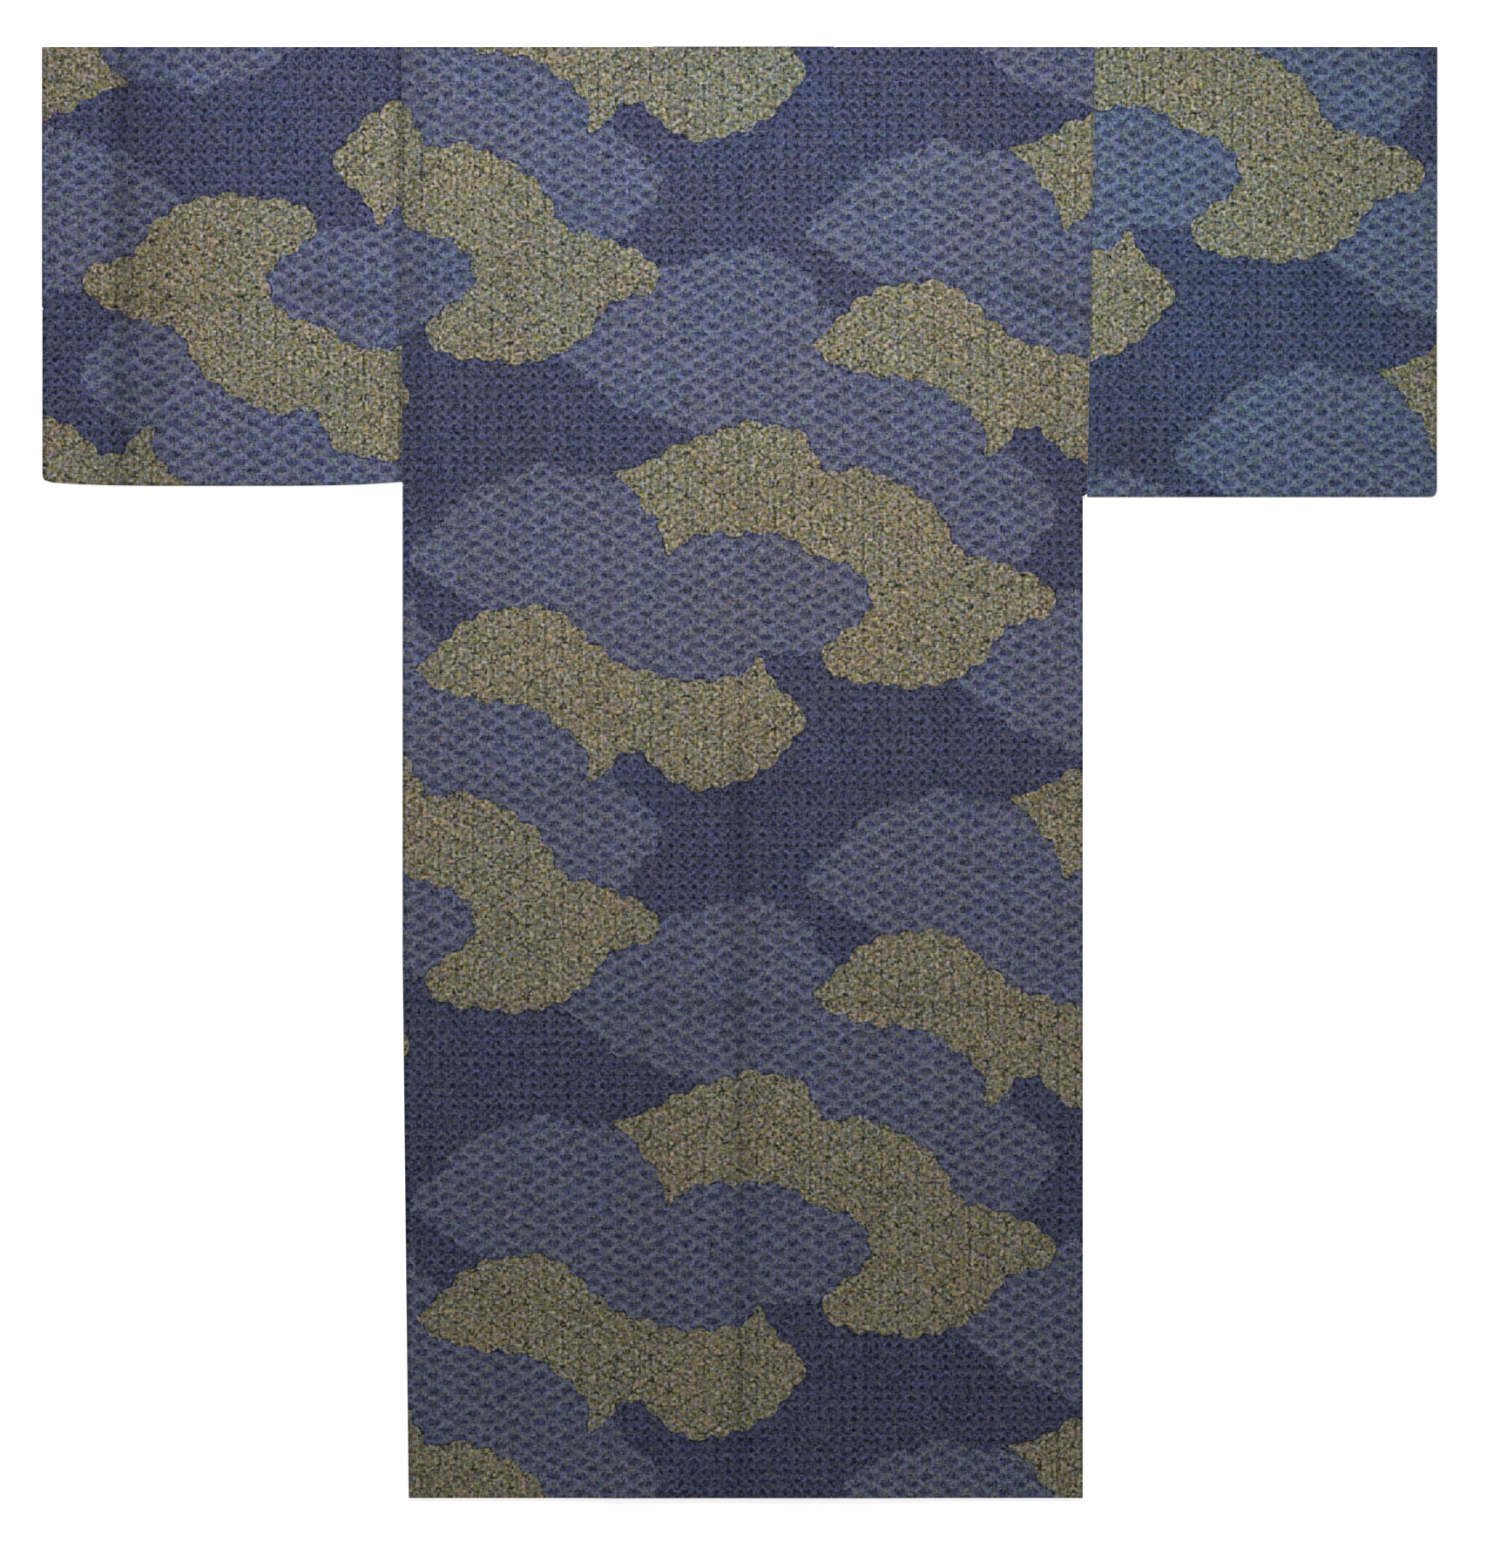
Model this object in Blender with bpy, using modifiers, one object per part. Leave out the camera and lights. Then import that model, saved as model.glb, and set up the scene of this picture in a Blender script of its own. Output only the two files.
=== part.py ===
"""A cotton yukata robe that lies flat on its face, back up.

Metres, +Z up, +Y towards the shoulders. The wearer's left is at -X. The origin is on the floor under
the middle of the robe. Three layers of cloth lie on each other: the left front with its overlap panel
is the lowest, the right front with its overlap panel comes next, and the back covers both. The collar
runs along both fronts and, folded down, under the back of the neck.
"""

import math

import bmesh
import bpy
from mathutils import Vector

# The whole robe as it lies
LENGTH = 1.420
SPAN = 1.365
TOP = LENGTH / 2
HEM = -LENGTH / 2
CENTRE = 0.0035  # the centre back seam lies a little right of the middle

# Cloth and the room between its layers
CLOTH = 0.0012
COLLAR_THICK = 0.0024
LAYER_GAP = 0.0008
SEAM = 0.0003
CLOTH_LIFT = CLOTH + LAYER_GAP
COLLAR_LIFT = COLLAR_THICK + LAYER_GAP
RAMP_START = 0.012  # an upper layer keeps its height this far past the edge of what it covers
RAMP = 0.060  # and comes down over this length
FOLD_OUT = 0.0010  # how far a fold's middle line stands out past the two layers that it joins

# Cut of the body, measured from the centre back seam
NECK_HALF = 0.090
FRONT_EDGE = 0.040  # the front panel stops this far short of the centre, where the overlap panel starts
OVERLAP_EDGE = 0.110  # the overlap panel reaches this far past the centre
OVERLAP_DROP = 0.230  # from the shoulder down to the overlap panel's upper tip
COLLAR_RISE = 0.780  # from the hem up to the collar's lower end
COLLAR_WIDTH = 0.058
FRONT_SHORT = 0.003  # the front hems lie this far inside the back hem
COLLAR_INSET = 0.0015  # the collar's folded edge lies this far below the shoulder line
DRIFT_START = -0.180  # below this height the left side seam drifts inwards

# The two sides of the robe, as distances from the middle
SIDES = {
    "left": {
        "sign": -1,
        "hem": 0.324,
        "side": 0.330,
        "arm_low": 0.3305,
        "arm_top": 0.3305,
        "armhole": 0.280,  # height of the armhole's lower end, and of the sleeve's lower edge
    },
    "right": {
        "sign": 1,
        "hem": 0.336,
        "side": 0.336,
        "arm_low": 0.340,
        "arm_top": 0.348,
        "armhole": 0.269,
    },
}
WRIST_OPEN = 0.260  # the upper stretch of the sleeve's end, where the hand comes out
SLEEVE_BOW = {"left": 0.004, "right": 0.0}  # the lower edge rises this much at its two ends
BOW_POWER = 4  # and is nearly straight between them
SLEEVE_CORNER = {"left": 0.007, "right": 0.002}  # how far the lower corner is rounded away

# The pressed tuck that runs down the left sleeve, near the wrist
TUCK_AT = -0.611
TUCK_HEIGHT = 0.0012
TUCK_WIDTH = 0.012

# Slow waves in the back and the upper side of the sleeves
WAVE_HEIGHT = 0.0010
WAVE_LONG = 0.41
WAVE_ACROSS = 0.29
WAVE_SLANT = 2.0  # radians that a crest turns in its phase over one metre

# Cells of the meshes
SIDE_COLUMNS = 9  # from the side seam to the neck point, or to the front edge
NECK_COLUMNS = 4  # from the neck point to the centre back
OVERLAP_COLUMNS = 5
COLLAR_COLUMNS = 3
SLEEVE_COLUMNS = 11
ROW_STEP = 0.055
COLLAR_STEP = 0.033
WELD = 0.00001

CLOTH_COLOUR = (0.068, 0.080, 0.130, 1.0)
COLLAR_COLOUR = (0.060, 0.070, 0.115, 1.0)
CLOTH_ROUGHNESS = 0.85


def between(a, b, t):
    return a + (b - a) * t


def spread(keys):
    """Heights from the first key to the last, about ROW_STEP apart, with a row on each key."""
    rows = [keys[0]]
    for low, high in zip(keys, keys[1:]):
        steps = max(1, math.ceil((high - low) / ROW_STEP))
        rows += [between(low, high, k / steps) for k in range(1, steps + 1)]
    return rows


def mirrored(points):
    """The same outline on the other side of the centre back seam."""
    return [Vector((2 * CENTRE - point.x, point.y)) for point in points]


def offset_line(points, width):
    """The line that runs beside an open line, on its right hand, with mitred corners."""
    normals = []
    for start, end in zip(points, points[1:]):
        along = (end - start).normalized()
        normals.append(Vector((along.y, -along.x)))
    corners = [points[0] + normals[0] * width]
    for before, after, point in zip(normals, normals[1:], points[1:]):
        middle = (before + after).normalized()
        corners.append(point + middle * width / middle.dot(before))
    return corners + [points[-1] + normals[-1] * width]


def outside(x, y, outline):
    """How far a point lies outside a closed outline, 0 where it is inside."""
    point = Vector((x, y))
    nearest = math.inf
    crossings = 0
    for start, end in zip(outline, outline[1:] + outline[:1]):
        along = end - start
        t = min(max((point - start).dot(along) / along.length_squared, 0), 1)
        nearest = min(nearest, (point - start - along * t).length)
        if (start.y > y) != (end.y > y):
            crossings += x < start.x + (y - start.y) * along.x / along.y
    return 0 if crossings % 2 else nearest


def held_up(x, y, outline):
    """1 over an outline and just past it, then down to 0 along a soft ramp."""
    t = min(max((outside(x, y, outline) - RAMP_START) / RAMP, 0), 1)
    return 1 - t * t * (3 - 2 * t)


# The line where the left front meets the collar: its lower end, the overlap panel's tip, the neck point
COLLAR_SEAM = [
    Vector((CENTRE + OVERLAP_EDGE, HEM + COLLAR_RISE)),
    Vector((CENTRE - FRONT_EDGE, TOP - OVERLAP_DROP)),
    Vector((CENTRE - NECK_HALF, TOP - COLLAR_INSET)),
]
SEAM_ROUND_NECK = COLLAR_SEAM + mirrored(COLLAR_SEAM)[::-1]
COLLAR_OUTER = offset_line(SEAM_ROUND_NECK, SEAM)
COLLAR_INNER = offset_line(SEAM_ROUND_NECK, SEAM + COLLAR_WIDTH)

# Outlines of what lies under other layers
LEFT_FRONT = COLLAR_SEAM + [
    Vector((-SIDES["left"]["arm_top"], TOP)),
    Vector((-SIDES["left"]["hem"], HEM)),
    Vector((CENTRE + OVERLAP_EDGE, HEM)),
]
RIGHT_FRONT = mirrored(COLLAR_SEAM) + [
    Vector((SIDES["right"]["arm_top"], TOP)),
    Vector((SIDES["right"]["hem"], HEM)),
    Vector((CENTRE - OVERLAP_EDGE, HEM)),
]
LEFT_COLLAR = COLLAR_OUTER[:3] + COLLAR_INNER[2::-1]
RIGHT_COLLAR = mirrored(LEFT_COLLAR)
BACK_COLLAR = COLLAR_OUTER[2:4] + COLLAR_INNER[3:1:-1]


def floor_height(x, y):
    return 0.0


def middle_height(x, y):
    """Underside of the right front, which lies over the left one where they overlap."""
    over_cloth = CLOTH_LIFT * held_up(x, y, LEFT_FRONT)
    over_collar = COLLAR_LIFT * held_up(x, y, LEFT_COLLAR)
    return max(over_cloth, over_collar)


def waves(x, y):
    """The back's slow rise and fall."""
    along = math.sin(y / WAVE_LONG * math.tau + WAVE_SLANT * x)
    across = math.sin(x / WAVE_ACROSS * math.tau + WAVE_SLANT * y)
    return WAVE_HEIGHT * (2 + along + across) / 4


def back_height(x, y):
    """Underside of the back, which covers both fronts and the collar."""
    middle = middle_height(x, y)
    covered = max(
        CLOTH_LIFT * held_up(x, y, LEFT_FRONT),
        COLLAR_LIFT * held_up(x, y, LEFT_COLLAR),
        COLLAR_LIFT * held_up(x, y, BACK_COLLAR),
        (middle + CLOTH_LIFT) * held_up(x, y, RIGHT_FRONT),
        (middle + COLLAR_LIFT) * held_up(x, y, RIGHT_COLLAR),
    )
    return covered + waves(x, y)


def sleeve_top_height(x, y):
    """Underside of the sleeve's upper side, with the tuck near the left wrist."""
    tuck = TUCK_HEIGHT * math.exp(-(((x - TUCK_AT) / TUCK_WIDTH) ** 2))
    return CLOTH_LIFT + waves(x, y) + tuck


def side_x(side, y):
    """The side seam below the armhole, and the sleeve seam above it."""
    if y <= side["armhole"]:
        drift = min(max((DRIFT_START - y) / (DRIFT_START - HEM), 0), 1)
        return side["sign"] * between(side["side"], side["hem"], drift)
    t = (y - side["armhole"]) / (TOP - side["armhole"])
    return side["sign"] * between(side["arm_low"], side["arm_top"], t)


def front_edge_x(side, y):
    """Inner edge of the front panel: straight up to the overlap panel's tip, then slanted to the neck point."""
    tip = TOP - OVERLAP_DROP
    t = max((y - tip) / (TOP - COLLAR_INSET - tip), 0)
    return CENTRE + side["sign"] * between(FRONT_EDGE, NECK_HALF, t)


def add_panel(bm, columns, rows, place):
    """One layer of cloth as a grid, whose points place(column, row) gives."""
    made = bmesh.ops.create_grid(bm, x_segments=columns, y_segments=rows, size=0.5)
    points = {}
    for vert in made["verts"]:
        column = round((vert.co.x + 0.5) * columns)
        row = round((vert.co.y + 0.5) * rows)
        points[column, row] = vert
    for (column, row), vert in points.items():
        vert.co = place(column, row)
    return points


def fold_round(bm, upper, lower, outward):
    """Joins two lines of points by a folded strip whose middle line stands out along outward."""
    middle = [bm.verts.new((a.co + b.co) / 2 + outward * FOLD_OUT) for a, b in zip(upper, lower)]
    for first, second in ((upper, middle), (middle, lower)):
        for a, b, c, d in zip(first, first[1:], second[1:], second):
            bm.faces.new((a, b, c, d))


def make_cloth(name, bm, thickness, colour):
    """Gives the layer its thickness and its own material, and puts it in the robe's collection."""
    bmesh.ops.recalc_face_normals(bm, faces=bm.faces)
    mesh = bpy.data.meshes.new(name)
    bm.to_mesh(mesh)
    bm.free()
    piece = bpy.data.objects.new(name, mesh)
    robe.objects.link(piece)
    wall = piece.modifiers.new("wall", "SOLIDIFY")
    wall.thickness = thickness
    wall.offset = 0
    wall.use_even_offset = True
    wall.use_quality_normals = True
    material = bpy.data.materials.new(name)
    material.use_nodes = True
    shader = material.node_tree.nodes["Principled BSDF"]
    shader.inputs["Base Color"].default_value = colour
    shader.inputs["Roughness"].default_value = CLOTH_ROUGHNESS
    shader.inputs["Metallic"].default_value = 0.0
    mesh.materials.append(material)


def make_body(name, side, front_height):
    """One long strip from the back hem over the shoulder to the front hem, closed down its side."""
    bm = bmesh.new()
    sign = side["sign"]
    neck = CENTRE + sign * NECK_HALF
    centre = CENTRE + sign * SEAM / 2
    fold_y = TOP - CLOTH / 2 - FOLD_OUT
    rows = spread([HEM, DRIFT_START, side["armhole"], TOP - OVERLAP_DROP, fold_y])

    def side_edge(y):
        inward = CLOTH / 2 + FOLD_OUT if y <= side["armhole"] else SEAM / 2
        return side_x(side, y) - sign * inward

    def back_point(column, row):
        y = rows[row]
        if column <= SIDE_COLUMNS:
            x = between(side_edge(y), neck, column / SIDE_COLUMNS)
        else:
            x = between(neck, centre, (column - SIDE_COLUMNS) / NECK_COLUMNS)
            if row == len(rows) - 1:
                y = TOP
        return Vector((x, y, back_height(x, y) + CLOTH / 2))

    def front_point(column, row):
        y = max(rows[row], HEM + FRONT_SHORT)
        x = between(side_edge(y), front_edge_x(side, y), column / SIDE_COLUMNS)
        return Vector((x, y, front_height(x, y) + CLOTH / 2))

    last = len(rows) - 1
    back = add_panel(bm, SIDE_COLUMNS + NECK_COLUMNS, last, back_point)
    front = add_panel(bm, SIDE_COLUMNS, last, front_point)
    shoulder = range(SIDE_COLUMNS + 1)
    fold_round(bm, [back[c, last] for c in shoulder], [front[c, last] for c in shoulder], Vector((0, 1, 0)))
    seam_rows = [row for row, y in enumerate(rows) if y <= side["armhole"] + SEAM]
    fold_round(bm, [back[0, r] for r in seam_rows], [front[0, r] for r in seam_rows], Vector((sign, 0, 0)))
    make_cloth(name, bm, CLOTH, CLOTH_COLOUR)


def make_overlap(name, side, height):
    """The narrow panel on a front's edge, whose upper end is cut to the collar's slant."""
    bm = bmesh.new()
    sign = side["sign"]
    start = CENTRE + sign * (FRONT_EDGE - SEAM)
    end = CENTRE - sign * OVERLAP_EDGE
    slant_low = HEM + COLLAR_RISE
    slant_high = TOP - OVERLAP_DROP
    rows = spread([HEM + FRONT_SHORT, slant_high])

    def point(column, row):
        x = between(start, end, column / OVERLAP_COLUMNS)
        across = abs(x - CENTRE - sign * FRONT_EDGE) / (FRONT_EDGE + OVERLAP_EDGE)
        top = between(slant_high, slant_low, across)
        y = between(rows[0], top, row / (len(rows) - 1))
        return Vector((x, y, height(x, y) + CLOTH / 2))

    add_panel(bm, OVERLAP_COLUMNS, len(rows) - 1, point)
    make_cloth(name, bm, CLOTH, CLOTH_COLOUR)


def make_collar():
    """One band from the left front's end, round the back of the neck, to the right front's end."""
    bm = bmesh.new()
    stations = []
    for part, (start, end) in enumerate(zip(COLLAR_OUTER, COLLAR_OUTER[1:])):
        steps = math.ceil((end - start).length / COLLAR_STEP)
        stations += [(part, k / steps) for k in range(steps)]
    stations.append((len(COLLAR_OUTER) - 2, 1.0))

    def point(column, row):
        part, t = stations[row]
        outer = COLLAR_OUTER[part].lerp(COLLAR_OUTER[part + 1], t)
        inner = COLLAR_INNER[part].lerp(COLLAR_INNER[part + 1], t)
        spot = outer.lerp(inner, column / COLLAR_COLUMNS)
        on_right = part >= 3
        base = middle_height(spot.x, spot.y) if on_right else 0.0
        return Vector((spot.x, spot.y, base + COLLAR_THICK / 2))

    add_panel(bm, COLLAR_COLUMNS, len(stations) - 1, point)
    make_cloth("collar", bm, COLLAR_THICK, COLLAR_COLOUR)


def make_sleeve(name, key):
    """A flat tube, folded at the shoulder and closed below, open at the armhole and at the hand."""
    side = SIDES[key]
    bm = bmesh.new()
    sign = side["sign"]
    fold = CLOTH / 2 + FOLD_OUT
    rows = spread([side["armhole"], TOP - WRIST_OPEN, TOP])
    wrist_row = rows.index(TOP - WRIST_OPEN)
    last = len(rows) - 1

    def point(column, row, height):
        u = column / SLEEVE_COLUMNS
        low = side["armhole"] + SLEEVE_BOW[key] * abs(2 * u - 1) ** BOW_POWER + fold
        t = (rows[row] - rows[0]) / (TOP - rows[0])
        y = between(low, TOP - fold, t)
        seam = side_x(side, max(y, side["armhole"] + SEAM)) + sign * SEAM / 2
        wrist = sign * (SPAN / 2 - (fold if row <= wrist_row else 0))
        x = between(seam, wrist, u)
        if column == SLEEVE_COLUMNS and row == 0:
            x -= sign * SLEEVE_CORNER[key]
            y += SLEEVE_CORNER[key]
        return Vector((x, y, height(x, y) + CLOTH / 2))

    back = add_panel(bm, SLEEVE_COLUMNS, last, lambda c, r: point(c, r, sleeve_top_height))
    front = add_panel(bm, SLEEVE_COLUMNS, last, lambda c, r: point(c, r, floor_height))
    columns = range(SLEEVE_COLUMNS + 1)
    fold_round(bm, [back[c, last] for c in columns], [front[c, last] for c in columns], Vector((0, 1, 0)))
    below = [(c, 0) for c in columns]
    fold_round(bm, [back[spot] for spot in below], [front[spot] for spot in below], Vector((0, -1, 0)))
    closed = [(SLEEVE_COLUMNS, r) for r in range(wrist_row + 1)]
    fold_round(bm, [back[spot] for spot in closed], [front[spot] for spot in closed], Vector((sign, 0, 0)))
    bmesh.ops.remove_doubles(bm, verts=bm.verts, dist=WELD)
    make_cloth(name, bm, CLOTH, CLOTH_COLOUR)


for thing in list(bpy.data.objects):
    bpy.data.objects.remove(thing)
robe = bpy.data.collections.new("yukata_robe")
bpy.context.scene.collection.children.link(robe)

make_body("body_left", SIDES["left"], floor_height)
make_body("body_right", SIDES["right"], middle_height)
make_overlap("okumi_left", SIDES["left"], floor_height)
make_overlap("okumi_right", SIDES["right"], middle_height)
make_collar()
make_sleeve("sleeve_left", "left")
make_sleeve("sleeve_right", "right")
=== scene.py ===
# %% [markdown]
# A cotton yukata is the plainest cut of all robes: straight strips of one narrow loom width, sewn edge to
# edge. This one lies flat on its face, so that its back shows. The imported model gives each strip's place and
# size. This lesson lays a finer sheet of cloth on each one and weaves the cloud pattern into it.

# %% Load the frame
import math

import bpy
import numpy as np
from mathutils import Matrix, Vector


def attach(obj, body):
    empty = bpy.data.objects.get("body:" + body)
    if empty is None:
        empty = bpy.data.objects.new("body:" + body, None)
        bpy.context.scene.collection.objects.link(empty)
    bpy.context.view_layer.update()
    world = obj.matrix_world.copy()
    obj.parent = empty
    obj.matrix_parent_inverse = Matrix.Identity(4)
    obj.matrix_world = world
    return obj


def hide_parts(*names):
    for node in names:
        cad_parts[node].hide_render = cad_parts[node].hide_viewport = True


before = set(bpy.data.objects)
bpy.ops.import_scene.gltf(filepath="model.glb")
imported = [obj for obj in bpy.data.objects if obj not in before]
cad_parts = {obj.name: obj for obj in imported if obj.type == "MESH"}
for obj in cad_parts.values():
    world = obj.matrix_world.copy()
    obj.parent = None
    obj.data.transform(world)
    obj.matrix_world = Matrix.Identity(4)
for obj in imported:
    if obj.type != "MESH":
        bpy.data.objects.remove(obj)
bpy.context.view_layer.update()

MM = 0.001

# %% [markdown]
# The photo was taken from straight above, so the camera looks down the Z axis. A long lens far away keeps
# the sides of the robe from leaning. Its focal length follows from how much of the floor the picture spans.

# %% Camera straight above the robe
PHOTO_WIDTH = 1707
PHOTO_HEIGHT = 1800
PIXEL = 0.852 * MM
MIDDLE_PIXEL = (849.0, 886.5)  # where the robe's own middle lies in the picture
CAMERA_HEIGHT = 6.0
CLOTH_LEVEL = 5 * MM  # the back of the robe, on which the pixel size was read
SENSOR = 36.0

camera_x = (PHOTO_WIDTH / 2 - MIDDLE_PIXEL[0]) * PIXEL
camera_y = (MIDDLE_PIXEL[1] - PHOTO_HEIGHT / 2) * PIXEL
bpy.ops.object.camera_add(location=(camera_x, camera_y, CAMERA_HEIGHT), rotation=(0, 0, 0))
camera = bpy.context.object
camera.data.sensor_width = SENSOR
camera.data.lens = SENSOR * (CAMERA_HEIGHT - CLOTH_LEVEL) / (PHOTO_HEIGHT * PIXEL)
bpy.context.scene.camera = camera
print("lens, mm:", round(camera.data.lens, 1))

# %% [markdown]
# A studio shot of laid-out cloth uses one big soft light, here beyond the shoulders and a little to the
# left. Its light halves on the way down to the hem, and grazes the cloth, so that creases show. Pale
# surroundings fill the shadows. The floor is a plain white light table, which stays white right up to the
# robe, and isn't part of it.

# %% Floor, light and surroundings
FLOOR_SIZE = 40.0
FLOOR_DROP = 0.3 * MM
LIGHT_PLACE = (-0.16, 1.30, 1.90)
LIGHT_AIM = (0.03, 0.42, 0.0)
LIGHT_SIZE = 0.6
LIGHT_SPREAD = 96.0
LIGHT_POWER = 10.3
LIGHT_TINT = (0.92, 1.0, 1.12)
SURROUND = 0.268
SURROUND_TINT = (1.05, 1.0, 0.98, 1.0)
TABLE_GLOW = 0.70


def linear(hex_colour):
    """An sRGB hex colour as the linear values that Blender's sockets hold."""
    channels = [int(hex_colour[i:i + 2], 16) / 255 for i in (1, 3, 5)]
    return tuple(c / 12.92 if c <= 0.04045 else ((c + 0.055) / 1.055) ** 2.4 for c in channels) + (1.0,)


bpy.ops.mesh.primitive_plane_add(size=FLOOR_SIZE, location=(0, 0, -FLOOR_DROP))
floor = bpy.context.object
floor.name = "floor"
opal = bpy.data.materials.new("opal_acrylic_light_table")
opal.use_nodes = True
table = opal.node_tree.nodes["Principled BSDF"]
table.inputs["Base Color"].default_value = linear("#f8f8f8")
table.inputs["Roughness"].default_value = 0.9
table.inputs["Emission Color"].default_value = (1, 1, 1, 1)
table.inputs["Emission Strength"].default_value = TABLE_GLOW
floor.data.materials.append(opal)

bpy.ops.object.light_add(type="AREA", location=LIGHT_PLACE)
softbox = bpy.context.object
softbox.data.shape = "DISK"
softbox.data.size = LIGHT_SIZE
softbox.data.energy = LIGHT_POWER
softbox.data.color = LIGHT_TINT
softbox.data.spread = math.radians(LIGHT_SPREAD)
softbox.rotation_euler = (Vector(LIGHT_AIM) - Vector(LIGHT_PLACE)).to_track_quat("-Z", "Y").to_euler()

world = bpy.data.worlds.new("studio")
bpy.context.scene.world = world
world.use_nodes = True
world.node_tree.nodes["Background"].inputs["Color"].default_value = SURROUND_TINT
world.node_tree.nodes["Background"].inputs["Strength"].default_value = SURROUND
bpy.context.scene.view_settings.view_transform = "Standard"

# %% [markdown]
# The robe's sizes come first, in metres, as the strips were cut and as they lie. They are those of the solid
# model, so each sheet lands on its solid: three layers on the body, two on each sleeve, and a collar that is
# folded down under the back of the neck.

# %% Sizes of the cut
TOP = 0.710
HEM = -0.710
SPAN = 1.365
CENTRE = 0.0035
CLOTH = 1.2 * MM
COLLAR_THICK = 2.4 * MM
LAYER_GAP = 0.8 * MM
CLOTH_LIFT = CLOTH + LAYER_GAP
COLLAR_LIFT = COLLAR_THICK + LAYER_GAP
SEAM = 0.3 * MM  # gap between the solids along a seam
SEWN = 0.02 * MM  # and between the shown sheets, which are sewn together
FOLD_OUT = 1.0 * MM
RAMP_START = 0.012
RAMP = 0.060
NECK_HALF = 0.090
FRONT_EDGE = 0.040
OVERLAP_EDGE = 0.110
OVERLAP_DROP = 0.230
COLLAR_RISE = 0.780
COLLAR_WIDTH = 0.058
FRONT_SHORT = 0.003
COLLAR_INSET = 0.0015
DRIFT_START = -0.180
WRIST_OPEN = 0.260
BOW_POWER = 4
SIDES = {
    "left": dict(sign=-1, hem=0.324, side=0.330, arm_low=0.3305, arm_top=0.3305, armhole=0.280,
                 bow=0.004, corner=0.004),
    "right": dict(sign=1, hem=0.336, side=0.336, arm_low=0.340, arm_top=0.348, armhole=0.269,
                  bow=0.0, corner=0.002),
}
TIP = TOP - OVERLAP_DROP
SHEET_THICK = 0.9 * MM  # the shown cloth, a little thinner than its solid, so that edges look light

# %% [markdown]
# The real strips are cut straight and lie over each other, so most of their edges can't be seen. Their
# outlines are needed all the same, because a layer lifts whatever lies over it. An outline is a short list
# of corners, and the signed distance to it says how near any point of the cloth is. A drawn curve would do
# too, but the distance is easier to work out from corners.

# %% Outlines of the layers
def mirrored(points):
    """The same outline on the other side of the centre back seam."""
    return points * [-1, 1] + [2 * CENTRE, 0]


def offset_line(points, width):
    """The line that runs beside an open line, on its right hand, with mitred corners."""
    along = np.diff(points, axis=0)
    along /= np.linalg.norm(along, axis=1)[:, None]
    normals = np.stack([along[:, 1], -along[:, 0]], axis=1)
    corners = [points[0] + normals[0] * width]
    for before, after, point in zip(normals, normals[1:], points[1:]):
        middle = (before + after) / np.linalg.norm(before + after)
        corners.append(point + middle * width / middle.dot(before))
    return np.array(corners + [points[-1] + normals[-1] * width])


def signed_distance(points, outline):
    """Distance from each point to a closed outline, below 0 inside it."""
    nearest = np.full(len(points), np.inf)
    inside = np.zeros(len(points), bool)
    x, y = points.T
    for start, end in zip(outline, np.roll(outline, -1, axis=0)):
        along = end - start
        t = np.clip((points - start) @ along / (along @ along), 0, 1)
        nearest = np.minimum(nearest, np.linalg.norm(points - start - t[:, None] * along, axis=1))
        if start[1] != end[1]:
            crossing = start[0] + (y - start[1]) * along[0] / along[1]
            inside ^= ((start[1] > y) != (end[1] > y)) & (x < crossing)
    return np.where(inside, -nearest, nearest)


def held_up(points, outline):
    """1 over an outline and just past it, then down to 0 along a soft ramp."""
    t = np.clip((signed_distance(points, outline) - RAMP_START) / RAMP, 0, 1)
    return 1 - t * t * (3 - 2 * t)


def side_x(side, y):
    """The side seam below the armhole, and the sleeve seam above it."""
    drift = np.clip((DRIFT_START - y) / (DRIFT_START - HEM), 0, 1)
    below = side["side"] + (side["hem"] - side["side"]) * drift
    t = (y - side["armhole"]) / (TOP - side["armhole"])
    above = side["arm_low"] + (side["arm_top"] - side["arm_low"]) * t
    return side["sign"] * np.where(y <= side["armhole"], below, above)


collar_seam = np.array([
    [CENTRE + OVERLAP_EDGE, HEM + COLLAR_RISE],
    [CENTRE - FRONT_EDGE, TIP],
    [CENTRE - NECK_HALF, TOP - COLLAR_INSET],
])
round_neck = np.concatenate([collar_seam, mirrored(collar_seam)[::-1]])
collar_outer = offset_line(round_neck, SEAM)
collar_inner = offset_line(round_neck, SEAM + COLLAR_WIDTH)
left_front = np.concatenate([collar_seam, [
    [-SIDES["left"]["arm_top"], TOP],
    [-SIDES["left"]["hem"], HEM],
    [CENTRE + OVERLAP_EDGE, HEM],
]])
right_front = np.concatenate([mirrored(collar_seam), [
    [SIDES["right"]["arm_top"], TOP],
    [SIDES["right"]["hem"], HEM],
    [CENTRE - OVERLAP_EDGE, HEM],
]])
left_collar = np.concatenate([collar_outer[:3], collar_inner[2::-1]])
right_collar = mirrored(left_collar)
back_collar = np.concatenate([collar_outer[2:4], collar_inner[3:1:-1]])
whole_robe = np.array([
    [side["sign"] * x, y] for side in (SIDES["left"], SIDES["right"]) for x, y in (
        (side["hem"], HEM), (side["side"], DRIFT_START), (side["side"], side["armhole"]),
        (SPAN / 2, side["armhole"]), (SPAN / 2, TOP))[::side["sign"]]
])

# %% [markdown]
# Cotton that has been folded in a drawer keeps faint creases, and it never lies quite flat. The back gets
# slow waves, a valley along each storage crease, a small roll at each seam, and a slight slackness. They are
# added to the height of the sheet, never through it, so that the layers below stay clear.

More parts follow.
